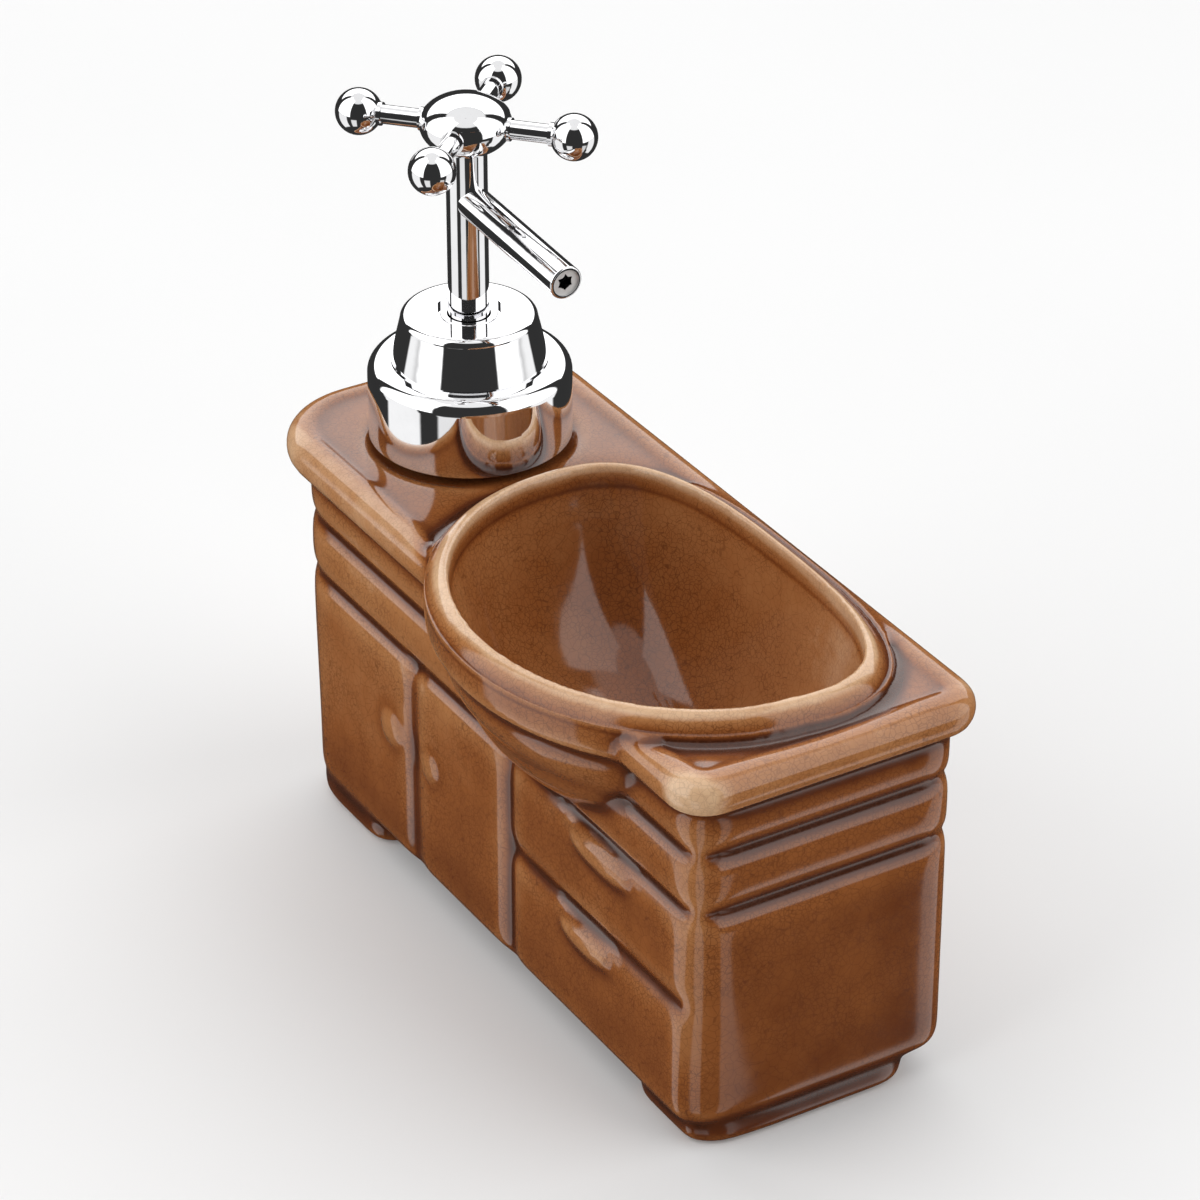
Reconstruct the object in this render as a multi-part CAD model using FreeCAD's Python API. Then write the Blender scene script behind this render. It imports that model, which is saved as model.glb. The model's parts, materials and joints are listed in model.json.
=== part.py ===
import FreeCAD, Part
import math
import os

# Soap pump dispenser: a glazed ceramic washstand with a hollow cabinet that holds the soap,
# an oval basin for a sponge in its worktop, and a lotion pump dressed as an old tap.
# Millimetres, +Z up. X runs along the cabinet, the basin bulges out of the -Y face.
# The model is drawn about the cabinet's own centre and moved at the end, so that the origin
# is the centre of the whole footprint on the surface the washstand stands on.

V = FreeCAD.Vector
UP = V(0, 0, 1)

OVERLAP = 2.0                # how far pieces of one solid reach into each other before fusing

# Cabinet, from end to end along X
CABINET_ENDS = (-92.5, 91.5)
CABINET_WIDTH = 68.0
CABINET_UNDERSIDE = 6.3
CABINET_BOTTOM_ROUND = 4.5
CORNER_AT_PUMP = 20.0        # plan radius of the two vertical corners beside the pump
CORNER_AT_BASIN = 8.0        # plan radius of the two at the other end
WALL = 4.5

# Worktop
WORKTOP_ENDS = (-98.3, 95.8)
WORKTOP_HALF_WIDTH = 38.3
WORKTOP_UNDERSIDE = 90.2
WORKTOP_TOP = 99.7
WORKTOP_EDGE_ROUND = 4.4
WORKTOP_CORNER_AT_PUMP = 23.0
WORKTOP_CORNER_AT_BASIN = 10.0
BORDER_WIDTH = 6.5
BORDER_DEPTH = 0.6

# Mouldings and panel joints cut into the faces
BAND_GROOVE_HEIGHTS = (77.9, 63.1)
BAND_GROOVE_WIDTH = 2.4
BAND_GROOVE_DEPTH = 1.5
JOINT_WIDTH = 1.8
JOINT_DEPTH = 1.2
DOOR_JOINTS_X = (-30.5, 13.0)
DRAWER_JOINT_HEIGHT = 38.2
POST_START = (88.5, -30.5)   # the grooves stop here, at a plain upright on the front corner
KNOB_PLACES = ((-40.5, 40.5, 5.2), (-22.5, 39.5, 4.4))     # x, height, radius
KNOB_PROUD = 2.4
PULL_PLACES = ((53.0, 58.0, 12.5), (47.0, 32.5, 10.5))     # x, height, half length
PULL_HALF_HEIGHT = 3.2
PULL_PROUD = 2.0

# Feet: two shallow pads, one under each end
FOOT_SPANS = ((-90.6, -49.0, 17.0), (60.0, 90.0, 8.0))     # from x, to x, outer corner radius
FOOT_FRONTS = (-32.6, -30.6)
FOOT_BACK = 25.5
FOOT_INNER_CORNER = 7.0
FOOT_EDGE_ROUND = 2.0

# Basin: its plan is half an ellipse at the front and a flatter, squarer half at the back
BASIN_X = 26.4
BASIN_Y = 1.0
BASIN_LEVEL = 99.7
BOWL_HALF_LENGTH = 53.5
BOWL_FRONT = 47.6
BOWL_BACK = 27.8
BOWL_DEPTH = 43.5
BACK_SQUARENESS = 2.85       # 2 would be an ellipse
PLAN_POINTS = 12             # on each half of the plan
BOWL_SECTIONS = 9
BOWL_SWEEP = 80.0            # degrees of a quarter round; 90 would close the floor to a point
RIM_WIDTH = 5.6
RIM_UNDERSIDE = 90.8
RIM_CREST = 104.2
RIM_ROUND = 2.6

# Reservoir inside the cabinet
RESERVOIR_FLOOR = 11.0
RESERVOIR_CEILING = 92.2
RESERVOIR_ROUND = 2.5

# Pump seat in the worktop
PUMP_X = -61.2
SEAT_X = -60.6
SEAT_RADIUS = 24.9
SEAT_FLOOR = 98.3
NECK_HOLE_RADIUS = 13.5

# Push-in threaded neck
NECK_BORE = 10.0
NECK_PLUG_RADIUS = 12.9
NECK_PLUG_END = 86.7
NECK_RIB_HEIGHTS = (93.3, 95.1, 96.9)
NECK_RIB_THICKNESS = 0.8
NECK_RIB_CLEARANCE = 0.05
NECK_LEAD_IN = 1.0
NECK_FLANGE_RADIUS = 16.5
NECK_CORE_RADIUS = 12.4
NECK_TOP = 111.7
SEAL_THICKNESS = 0.8
FLANGE_THICKNESS = 1.5

# Screw thread between neck and closure
PITCH = 4.233
THREAD_TURNS = 1.4
THREAD_START = 103.3
THREAD_GAP = 0.3
THREAD_DEPTH = 1.1
THREAD_EMBED = 0.3
RIDGE_ROOT = 1.9
RIDGE_CREST = 0.9

# Closure and its plated covers
CLOSURE_FOOT = 101.3
CLOSURE_RADIUS = 16.8
CLOSURE_PLATE = (114.7, 116.3)
CLOSURE_TOP = 118.1
CLOSURE_HOLE = 9.0
CLOSURE_FLARE = 1.8
COVER_RADIUS = 23.7
COVER_FOOT = 100.1
COVER_TOP = 119.4
COVER_SHOULDER = 3.4
COVER_WALL = 1.3
COVER_HOLE = 13.6
CONE_FOOT_RADIUS = 18.2
CONE_TOP_RADIUS = 15.9
CONE_TOP = 131.4
CONE_EDGE = 1.8
DISH_RADIUS = 8.1
DISH_DEPTH = 1.3
BUSH_RADIUS = 6.6
BUSH_PROUD = 0.6
COLUMN_CLEARANCE = 0.35
EDGE_BREAK = 0.4

# Pump cylinder
FLANGE_RADIUS = 12.3
FLANGE_TOP = 113.7
GASKET_THICKNESS = 0.8
CYLINDER_HEAD_RADIUS = 9.0
CYLINDER_RADIUS = 7.2
CHAMBER_RADIUS = 5.6
HEAD_TAPER = (98.7, 101.7)   # heights over which the cylinder narrows below its head
FOOT_TAPER = (54.7, 60.7)    # and again towards the dip tube
CHAMBER_TOP = 102.7
SPRING_SEAT = 61.7
BALL_SEAT = 56.7
CYLINDER_END = 45.7
TUBE_RADIUS = 3.0
TUBE_BORE = 2.1
TUBE_SOCKET = 7.5
SOCKET_WALL = 1.4
TUBE_END = 14.0
TUBE_SLANT = 35.0
GUIDE_SOCKET = 7.6
GUIDE_TOP = 114.7

# Piston, stem and spring
STEM_RADIUS = 3.7
STEM_CLEARANCE = 0.2
STEM_BORE = 1.4
STEM_TOP = 141.7
STEM_WAIST = 2.9
PISTON_TOP = 100.7
PISTON_BOTTOM = 93.2
PISTON_RADIUS = 5.5
PISTON_GAP = 0.05
LIP_DEPTH = 0.8
LIP_HEIGHT = 2.8
BALL_RADIUS = 2.2
CUP_RADIUS = 2.9
SEAT_CONE = 1.5
SEAT_GAP = 0.02
OUTLET_CUP_DEPTH = 6.0
SPRING_COIL_RADIUS = 4.6
SPRING_WIRE = 0.9
SPRING_TURNS = 8

# Tap column, spout and cross handle
COLUMN_RADIUS = 4.75
COLUMN_BORE = 4.05
COLUMN_FOOT = 127.7
COLUMN_HEAD = 174.3
LINER_INSET = 2.0
SPOUT_HEIGHT = 160.2
SPOUT_DROOP = 3.5
SPOUT_RADIUS = 3.95
SPOUT_REACH = 44.0
SPOUT_BORE = 3.2
DUCT_RADIUS = 1.3
NOZZLE_THICKNESS = 2.4
NOZZLE_INSET = 0.5
NOZZLE_POINTS = 6
NOZZLE_STAR = (2.1, 1.35)
HUB_HEIGHT = 178.2
HUB_RADIUS = 10.5
HUB_HALF_HEIGHT = 6.9
HUB_SPLIT = 2.6              # above the hub's middle
CAP_OVERHANG = 0.25
ARM_RADIUS = 2.2
ARM_RING_RADIUS = 2.7
ARM_RING_WIDTH = 1.0
ARM_RING_SUNK = 0.8
ARM_INNER = 6.0
ARM_TENON = 2.0
BALL_CENTRE = 25.2
BALL_KNOB_RADIUS = 5.4
HANDLE_ANGLE = 43.3
ARM_NAMES = ("a", "b", "c", "d")
SCREW_RADIUS = 1.4
SCREW_LENGTH = 14.5
SCREW_HEAD_RADIUS = 2.9
SCREW_HEAD_HEIGHT = 1.8
SCREW_SLOT = (0.6, 0.8)

# From the cabinet's centre to the centre of the footprint
SHIFT_X = -sum(WORKTOP_ENDS) / 2
SHIFT_Y = (BOWL_FRONT + RIM_WIDTH - BASIN_Y - WORKTOP_HALF_WIDTH) / 2


# ---------------------------------------------------------------- helpers

def outline(points):
    """Closed wire through points; a point written (mid, end) is an arc to end through mid."""
    edges = []
    here = points[0]
    for step in list(points[1:]) + [points[0]]:
        if isinstance(step, tuple):
            mid, end = step
            edges.append(Part.Arc(here, mid, end).toShape())
        else:
            end = step
            if here.distanceToPoint(end) > 1e-7:
                edges.append(Part.makeLine(here, end))
        here = end
    return Part.Wire(edges)


def turned(points):
    """Solid of revolution about Z from (radius, height) points, arcs as ((r, z), (r, z))."""
    path = []
    for point in points:
        if isinstance(point[0], tuple):
            mid, end = point
            path.append((V(mid[0], 0, mid[1]), V(end[0], 0, end[1])))
        else:
            path.append(V(point[0], 0, point[1]))
    return Part.Face(outline(path)).revolve(V(0, 0, 0), UP, 360)


def tube(outer, inner, z0, z1):
    solid = Part.makeCylinder(outer, z1 - z0, V(0, 0, z0))
    if inner > 0:
        solid = solid.cut(Part.makeCylinder(inner, z1 - z0, V(0, 0, z0)))
    return solid


def rounding_mid(corner, start, end, radius):
    """Middle point of the quarter arc that rounds a square corner."""
    centre = start + end - corner
    return centre + (corner - centre).normalize() * radius


def rounded_block(x0, x1, y0, y1, left_radius, right_radius, z0, z1):
    """Upright block whose plan is a rectangle with round corners."""
    corners = (
        (V(x1, y0, z0), V(x1 - right_radius, y0, z0), V(x1, y0 + right_radius, z0), right_radius),
        (V(x1, y1, z0), V(x1, y1 - right_radius, z0), V(x1 - right_radius, y1, z0), right_radius),
        (V(x0, y1, z0), V(x0 + left_radius, y1, z0), V(x0, y1 - left_radius, z0), left_radius),
        (V(x0, y0, z0), V(x0, y0 + left_radius, z0), V(x0 + left_radius, y0, z0), left_radius),
    )
    path = [V(x0 + left_radius, y0, z0)]
    for corner, start, end, radius in corners:
        path.append(start)
        path.append((rounding_mid(corner, start, end, radius), end))
    return Part.Face(outline(path)).extrude(V(0, 0, z1 - z0))


def edges_at(shape, z, tolerance=1e-4):
    """Edges that lie in the level plane z."""
    found = []
    for edge in shape.Edges:
        box = edge.BoundBox
        if abs(box.ZMin - z) < tolerance and abs(box.ZMax - z) < tolerance:
            found.append(edge)
    return found


def basin_plan(outset, scale, z):
    """Closed level curve of the basin, set out from the bowl's mouth or scaled down from it."""
    points = []
    for step in range(2 * PLAN_POINTS):
        angle = math.pi * step / PLAN_POINTS
        across = math.cos(angle)
        along = math.sin(angle)
        power = 2 / BACK_SQUARENESS if along > 0 else 1
        reach = BOWL_BACK if along > 0 else BOWL_FRONT
        x = (BOWL_HALF_LENGTH + outset) * math.copysign(abs(across) ** power, across)
        y = (reach + outset) * math.copysign(abs(along) ** power, along)
        points.append(V(BASIN_X + scale * x, BASIN_Y + scale * y, z))
    curve = Part.BSplineCurve()
    curve.interpolate(Points=points, PeriodicFlag=True)
    return Part.Wire(curve.toShape())


def basin_block(outset, z0, z1):
    """Upright block with the basin's plan."""
    return Part.Face(basin_plan(outset, 1, z0)).extrude(V(0, 0, z1 - z0))


def basin_dome(outset, depth):
    """Bowl-shaped solid that hangs from the worktop's level."""
    sections = []
    for step in range(BOWL_SECTIONS):
        angle = math.radians(BOWL_SWEEP) * step / (BOWL_SECTIONS - 1)
        sections.append(basin_plan(outset, math.cos(angle), BASIN_LEVEL - depth * math.sin(angle)))
    return Part.makeLoft(sections, True, False)


def ellipsoid(centre, half_x, half_y, half_z):
    scale = FreeCAD.Matrix()
    scale.scale(half_x, half_y, half_z)
    scale.move(centre)
    return Part.makeSphere(1.0).transformGeometry(scale)


def thread_ridge(root, crest, z0):
    """Helical ridge from radius root to radius crest, right-handed, starting at height z0."""
    helix = Part.makeHelix(PITCH, PITCH * THREAD_TURNS, root)
    profile = outline([
        V(root, 0, -RIDGE_ROOT / 2),
        V(crest, 0, -RIDGE_CREST / 2),
        V(crest, 0, RIDGE_CREST / 2),
        V(root, 0, RIDGE_ROOT / 2),
    ])
    ridge = Part.Wire(helix.Edges).makePipeShell([profile], True, True)
    ridge.translate(V(0, 0, z0))
    return ridge


# ---------------------------------------------------------------- ceramic washstand

def cabinet_block(inset, z0, z1):
    half_width = CABINET_WIDTH / 2 - inset
    return rounded_block(CABINET_ENDS[0] + inset, CABINET_ENDS[1] - inset, -half_width, half_width,
                         CORNER_AT_PUMP - inset, CORNER_AT_BASIN - inset, z0, z1)


def cabinet():
    block = cabinet_block(0, CABINET_UNDERSIDE, WORKTOP_UNDERSIDE + OVERLAP)
    block = block.makeFillet(CABINET_BOTTOM_ROUND, edges_at(block, CABINET_UNDERSIDE))
    for height in BAND_GROOVE_HEIGHTS:
        block = block.cut(band_groove(height))
    return block.cut(panel_joints())


def band_groove(height):
    """Groove round the cabinet, left out at the upright on the front corner."""
    z0 = height - BAND_GROOVE_WIDTH / 2
    z1 = height + BAND_GROOVE_WIDTH / 2
    ring = cabinet_block(-OVERLAP, z0, z1).cut(cabinet_block(BAND_GROOVE_DEPTH, z0, z1))
    x, y = POST_START
    reach = CABINET_WIDTH
    post = Part.makeBox(reach, reach, BAND_GROOVE_WIDTH, V(x, y - reach, z0))
    return ring.cut(post)


def front_cut(x0, x1, z0, z1):
    """Shallow bar that cuts a panel joint into the front face."""
    face = -CABINET_WIDTH / 2
    return Part.makeBox(x1 - x0, JOINT_DEPTH + OVERLAP, z1 - z0, V(x0, face - OVERLAP, z0))


def panel_joints():
    top = BAND_GROOVE_HEIGHTS[-1]
    foot = CABINET_UNDERSIDE + CABINET_BOTTOM_ROUND / 3
    half = JOINT_WIDTH / 2
    drawer_start = DOOR_JOINTS_X[-1]
    cuts = front_cut(drawer_start, POST_START[0], DRAWER_JOINT_HEIGHT - half, DRAWER_JOINT_HEIGHT + half)
    for x in DOOR_JOINTS_X:
        cuts = cuts.fuse(front_cut(x - half, x + half, foot, top))
    return cuts


def door_knobs():
    """Low domes on the two doors."""
    knobs = []
    for x, height, radius in KNOB_PLACES:
        sphere_radius = (radius ** 2 + KNOB_PROUD ** 2) / (2 * KNOB_PROUD)
        y = -CABINET_WIDTH / 2 - KNOB_PROUD + sphere_radius
        knobs.append(Part.makeSphere(sphere_radius, V(x, y, height)))
    return knobs


def drawer_pulls():
    """Soft cup-shaped swellings that stand for the drawer pulls."""
    pulls = []
    for x, height, half_length in PULL_PLACES:
        swelling = ellipsoid(V(x, -CABINET_WIDTH / 2, height), half_length, PULL_PROUD, PULL_HALF_HEIGHT)
        pulls.append(swelling)
    return pulls


def feet():
    pads = []
    for (x0, x1, corner), front in zip(FOOT_SPANS, FOOT_FRONTS):
        left = corner if x0 < 0 else FOOT_INNER_CORNER
        right = FOOT_INNER_CORNER if x0 < 0 else corner
        pad = rounded_block(x0, x1, front, FOOT_BACK, left, right, 0, CABINET_UNDERSIDE + OVERLAP)
        pads.append(pad.makeFillet(FOOT_EDGE_ROUND, edges_at(pad, 0)))
    return pads


def worktop_block(inset, z0, z1):
    half_width = WORKTOP_HALF_WIDTH - inset
    return rounded_block(WORKTOP_ENDS[0] + inset, WORKTOP_ENDS[1] - inset, -half_width, half_width,
                         WORKTOP_CORNER_AT_PUMP - inset, WORKTOP_CORNER_AT_BASIN - inset, z0, z1)


def worktop():
    """Slab with a bullnose edge and a slightly raised border."""
    slab = worktop_block(0, WORKTOP_UNDERSIDE, WORKTOP_TOP)
    rims = edges_at(slab, WORKTOP_UNDERSIDE) + edges_at(slab, WORKTOP_TOP)
    slab = slab.makeFillet(WORKTOP_EDGE_ROUND, rims)
    return slab.cut(worktop_block(BORDER_WIDTH, WORKTOP_TOP - BORDER_DEPTH, WORKTOP_TOP))


def basin_shell():
    """Outside of the bowl."""
    return basin_dome(WALL, BOWL_DEPTH + WALL)


def basin_rim():
    ring = basin_block(RIM_WIDTH, RIM_UNDERSIDE, RIM_CREST)
    ring = ring.makeFillet(RIM_ROUND, edges_at(ring, RIM_CREST) + edges_at(ring, RIM_UNDERSIDE))
    return ring.cut(basin_block(0, RIM_UNDERSIDE, RIM_CREST))


def basin_hollow():
    mouth = basin_block(0, BASIN_LEVEL, RIM_CREST)
    return basin_dome(0, BOWL_DEPTH).fuse(mouth)


def reservoir():
    block = cabinet_block(WALL, RESERVOIR_FLOOR, RESERVOIR_CEILING)
    rims = edges_at(block, RESERVOIR_FLOOR) + edges_at(block, RESERVOIR_CEILING)
    block = block.makeFillet(RESERVOIR_ROUND, rims)
    return block.cut(basin_shell())


def ceramic_body():
    body = cabinet()
    for piece in feet() + door_knobs() + drawer_pulls() + [worktop(), basin_shell(), basin_rim()]:
        body = body.fuse(piece)
    body = body.cut(basin_hollow())
    body = body.cut(reservoir())
    seat = Part.makeCylinder(SEAT_RADIUS, RIM_CREST - SEAT_FLOOR, V(SEAT_X, 0, SEAT_FLOOR))
    hole_start = RESERVOIR_CEILING - OVERLAP
    hole = Part.makeCylinder(NECK_HOLE_RADIUS, WORKTOP_TOP - hole_start, V(PUMP_X, 0, hole_start))
    return body.cut(seat).cut(hole)


# ---------------------------------------------------------------- pump neck and closure

def neck_insert():
    """Push-in polyethylene neck: ribbed plug, flange and threaded spigot in one moulding."""
    flange_foot = SEAT_FLOOR + SEAL_THICKNESS
    flange_top = flange_foot + FLANGE_THICKNESS
    body = turned([
        (NECK_BORE, NECK_PLUG_END), (NECK_PLUG_RADIUS - NECK_LEAD_IN, NECK_PLUG_END),
        (NECK_PLUG_RADIUS, NECK_PLUG_END + NECK_LEAD_IN), (NECK_PLUG_RADIUS, flange_foot),
        (NECK_FLANGE_RADIUS, flange_foot), (NECK_FLANGE_RADIUS, flange_top),
        (NECK_CORE_RADIUS, flange_top), (NECK_CORE_RADIUS, NECK_TOP), (NECK_BORE, NECK_TOP),
    ])
    rib_radius = NECK_HOLE_RADIUS - NECK_RIB_CLEARANCE
    for height in NECK_RIB_HEIGHTS:
        body = body.fuse(tube(rib_radius, NECK_BORE, height, height + NECK_RIB_THICKNESS))
    root = NECK_CORE_RADIUS - THREAD_EMBED
    ridge = thread_ridge(root, NECK_CORE_RADIUS + THREAD_DEPTH, THREAD_START)
    return body.fuse(ridge)


def neck_seal():
    return tube(NECK_FLANGE_RADIUS, NECK_HOLE_RADIUS, SEAT_FLOOR, SEAT_FLOOR + SEAL_THICKNESS)


def closure():
    """Threaded cap that clamps the pump's flange down on the neck."""
    root = NECK_CORE_RADIUS + THREAD_DEPTH + THREAD_GAP
    flare_top = CLOSURE_FOOT + CLOSURE_FLARE
    cap = turned([
        (root, CLOSURE_FOOT), (COVER_RADIUS - COVER_WALL, CLOSURE_FOOT),
        (COVER_RADIUS - COVER_WALL, flare_top), (CLOSURE_RADIUS, flare_top),
        (CLOSURE_RADIUS, CLOSURE_TOP), (COVER_HOLE, CLOSURE_TOP), (COVER_HOLE, CLOSURE_PLATE[1]),
        (CLOSURE_HOLE, CLOSURE_PLATE[1]), (CLOSURE_HOLE, CLOSURE_PLATE[0]), (root, CLOSURE_PLATE[0]),
    ])
    crest = NECK_CORE_RADIUS + THREAD_GAP
    ridge = thread_ridge(root + THREAD_EMBED, crest, THREAD_START + PITCH / 2)
    return cap.fuse(ridge)


def rounded_corner(radius, height, size):
    """Arc step of a turned profile that rounds its upper outer corner at (radius, height)."""
    bulge = size * (1 - math.sqrt(0.5))
    return ((radius - bulge, height - bulge), (radius - size, height))


def collar_cover():
    """Plated skirt over the closure, with a round shoulder."""
    inner = COVER_RADIUS - COVER_WALL
    shoulder_inset = COVER_SHOULDER - COVER_WALL
    inner_foot = COVER_TOP - COVER_SHOULDER
    inner_mid = (inner - shoulder_inset * (1 - math.sqrt(0.5)), inner_foot + shoulder_inset * math.sqrt(0.5))
    return turned([
        (inner, COVER_FOOT), (COVER_RADIUS - EDGE_BREAK, COVER_FOOT),
        (COVER_RADIUS, COVER_FOOT + EDGE_BREAK), (COVER_RADIUS, COVER_TOP - COVER_SHOULDER),
        rounded_corner(COVER_RADIUS, COVER_TOP, COVER_SHOULDER),
        (COVER_HOLE, COVER_TOP), (COVER_HOLE, inner_foot + shoulder_inset),
        (inner - shoulder_inset, inner_foot + shoulder_inset), (inner_mid, (inner, inner_foot)),
    ])


def collar_cone():
    """Plated tapered ring that closes the collar around the column, dished at its centre."""
    dish_floor = CONE_TOP - DISH_DEPTH
    plate_foot = dish_floor - COVER_WALL
    inner = COVER_HOLE - COVER_WALL
    return turned([
        (COVER_HOLE, CLOSURE_PLATE[1]), (COVER_HOLE, COVER_TOP), (CONE_FOOT_RADIUS - EDGE_BREAK, COVER_TOP),
        (CONE_FOOT_RADIUS, COVER_TOP + EDGE_BREAK), (CONE_TOP_RADIUS, CONE_TOP - CONE_EDGE),
        rounded_corner(CONE_TOP_RADIUS, CONE_TOP, CONE_EDGE),
        (DISH_RADIUS, CONE_TOP), (DISH_RADIUS, dish_floor), (BUSH_RADIUS, dish_floor),
        (BUSH_RADIUS, plate_foot), (inner, plate_foot), (inner, CLOSURE_PLATE[1]),
    ])


def column_bush():
    """Ring pressed into the cone's dish, round the column's way through."""
    dish_floor = CONE_TOP - DISH_DEPTH
    foot = dish_floor - COVER_WALL
    top = dish_floor + BUSH_PROUD
    bore = COLUMN_RADIUS + COLUMN_CLEARANCE
    return turned([
        (bore, foot), (BUSH_RADIUS, foot), (BUSH_RADIUS, top - EDGE_BREAK),
        rounded_corner(BUSH_RADIUS, top, EDGE_BREAK), (bore, top),
    ])


# ---------------------------------------------------------------- pump engine

def pump_cylinder():
    """Moulded cylinder: flange, guide socket, chamber, ball seat and dip tube socket."""
    gasket_top = NECK_TOP + GASKET_THICKNESS
    return turned([
        (GUIDE_SOCKET, FLANGE_TOP), (FLANGE_RADIUS, FLANGE_TOP), (FLANGE_RADIUS, gasket_top),
        (CYLINDER_HEAD_RADIUS, gasket_top), (CYLINDER_HEAD_RADIUS, HEAD_TAPER[1]),
        (CYLINDER_RADIUS, HEAD_TAPER[0]), (CYLINDER_RADIUS, FOOT_TAPER[1]),
        (TUBE_RADIUS + SOCKET_WALL, FOOT_TAPER[0]), (TUBE_RADIUS + SOCKET_WALL, CYLINDER_END),
        (TUBE_RADIUS, CYLINDER_END), (TUBE_RADIUS, CYLINDER_END + TUBE_SOCKET),
        (STEM_BORE, CYLINDER_END + TUBE_SOCKET), (STEM_BORE, BALL_SEAT),
        (CUP_RADIUS, BALL_SEAT + SEAT_CONE), (CUP_RADIUS, SPRING_SEAT),
        (CHAMBER_RADIUS, SPRING_SEAT), (CHAMBER_RADIUS, CHAMBER_TOP), (GUIDE_SOCKET, CHAMBER_TOP),
    ])


def pump_gasket():
    return tube(FLANGE_RADIUS, NECK_BORE, NECK_TOP, NECK_TOP + GASKET_THICKNESS)


def stem_guide():
    """Bush snapped into the cylinder's mouth, which guides the stem and stops the piston."""
    bore = STEM_RADIUS + STEM_CLEARANCE
    return turned([
        (bore, CHAMBER_TOP), (GUIDE_SOCKET, CHAMBER_TOP), (GUIDE_SOCKET, FLANGE_TOP),
        (FLANGE_RADIUS, FLANGE_TOP), (FLANGE_RADIUS, GUIDE_TOP), (bore, GUIDE_TOP),
    ])


def dip_tube():
    """Straight suction tube with its lower end cut on a slant."""
    straight = tube(TUBE_RADIUS, TUBE_BORE, TUBE_END, CYLINDER_END + TUBE_SOCKET)
    reach = 4 * TUBE_RADIUS
    slant = Part.makeBox(2 * reach, 2 * reach, reach, V(-reach, -reach, -reach))
    slant.rotate(V(0, 0, 0), V(0, 1, 0), TUBE_SLANT)
    slant.translate(V(0, 0, TUBE_END + TUBE_RADIUS * math.tan(math.radians(TUBE_SLANT))))
    return straight.cut(slant)


def seated_ball(seat_foot):
    """Steel ball resting in a conical seat whose narrow end is at seat_foot."""
    slope = SEAT_CONE / (CUP_RADIUS - STEM_BORE)
    centre = seat_foot - STEM_BORE * slope + BALL_RADIUS * math.sqrt(1 + slope ** 2)
    return Part.makeSphere(BALL_RADIUS, V(0, 0, centre + SEAT_GAP))


def inlet_ball():
    return seated_ball(BALL_SEAT)


def outlet_ball():
    return seated_ball(STEM_TOP - OUTLET_CUP_DEPTH)


def piston():
    """Soft double-lipped seal that floats round the foot of the stem."""
    bore = STEM_WAIST + PISTON_GAP
    waist = PISTON_RADIUS - LIP_DEPTH
    lips = []
    for foot in (PISTON_BOTTOM, PISTON_TOP - LIP_HEIGHT):
        lips.append((waist, foot))
        lips.append((PISTON_RADIUS, foot + LIP_DEPTH))
        lips.append((PISTON_RADIUS, foot + LIP_HEIGHT - LIP_DEPTH))
        lips.append((waist, foot + LIP_HEIGHT))
    return turned([(bore, PISTON_BOTTOM)] + lips + [(bore, PISTON_TOP)])


def piston_stem():
    """Hollow stem: waisted for the piston below, with the outlet valve's cup at its top."""
    cup_floor = STEM_TOP - OUTLET_CUP_DEPTH
    return turned([
        (STEM_BORE, PISTON_BOTTOM), (STEM_WAIST, PISTON_BOTTOM), (STEM_WAIST, PISTON_TOP),
        (STEM_RADIUS, PISTON_TOP), (STEM_RADIUS, STEM_TOP), (CUP_RADIUS, STEM_TOP),
        (CUP_RADIUS, cup_floor + SEAT_CONE), (STEM_BORE, cup_floor),
    ])


def return_spring():
    """Steel compression spring between the cylinder's floor and the piston."""
    wire_radius = SPRING_WIRE / 2
    z0 = SPRING_SEAT + wire_radius
    z1 = PISTON_BOTTOM - wire_radius
    helix = Part.makeHelix((z1 - z0) / SPRING_TURNS, z1 - z0, SPRING_COIL_RADIUS)
    circle = Part.Wire(Part.Circle(V(SPRING_COIL_RADIUS, 0, 0), V(0, 1, 0), wire_radius).toShape())
    spring = Part.Wire(helix.Edges).makePipeShell([circle], True, True)
    spring.translate(V(0, 0, z0))
    return spring


# ---------------------------------------------------------------- tap head

def along_spout(shape):
    """Lay a piece drawn about Z along the spout's axis."""
    laid = shape.copy()
    laid.rotate(V(0, 0, 0), V(0, 1, 0), 90 + SPOUT_DROOP)
    laid.translate(V(0, 0, SPOUT_HEIGHT))
    return laid


def column_core(radius):
    """Upright cylinder about the column's axis, as high as the tap's head."""
    return Part.makeCylinder(radius, COLUMN_HEAD - COLUMN_FOOT, V(0, 0, COLUMN_FOOT))


def column():
    """Plated tube of the tap, with a port for the spout's duct."""
    pipe = turned([
        (COLUMN_BORE, COLUMN_FOOT), (COLUMN_RADIUS - EDGE_BREAK, COLUMN_FOOT),
        (COLUMN_RADIUS, COLUMN_FOOT + EDGE_BREAK),
        (COLUMN_RADIUS, COLUMN_HEAD), (COLUMN_BORE, COLUMN_HEAD),
    ])
    return pipe.cut(along_spout(Part.makeCylinder(SPOUT_BORE, COLUMN_RADIUS + OVERLAP)))


def column_liner():
    """Moulded core of the column: grips the stem and turns the soap into the spout."""
    core = Part.makeCylinder(COLUMN_BORE, COLUMN_HEAD - STEM_TOP, V(0, 0, STEM_TOP))
    core = core.fuse(tube(COLUMN_BORE, STEM_RADIUS, COLUMN_FOOT + LINER_INSET, STEM_TOP))
    rise = Part.makeCylinder(DUCT_RADIUS, SPOUT_HEIGHT + DUCT_RADIUS - STEM_TOP, V(0, 0, STEM_TOP))
    branch = along_spout(Part.makeCylinder(DUCT_RADIUS, COLUMN_RADIUS + OVERLAP))
    return core.cut(rise).cut(branch).cut(screw_shank())


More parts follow.
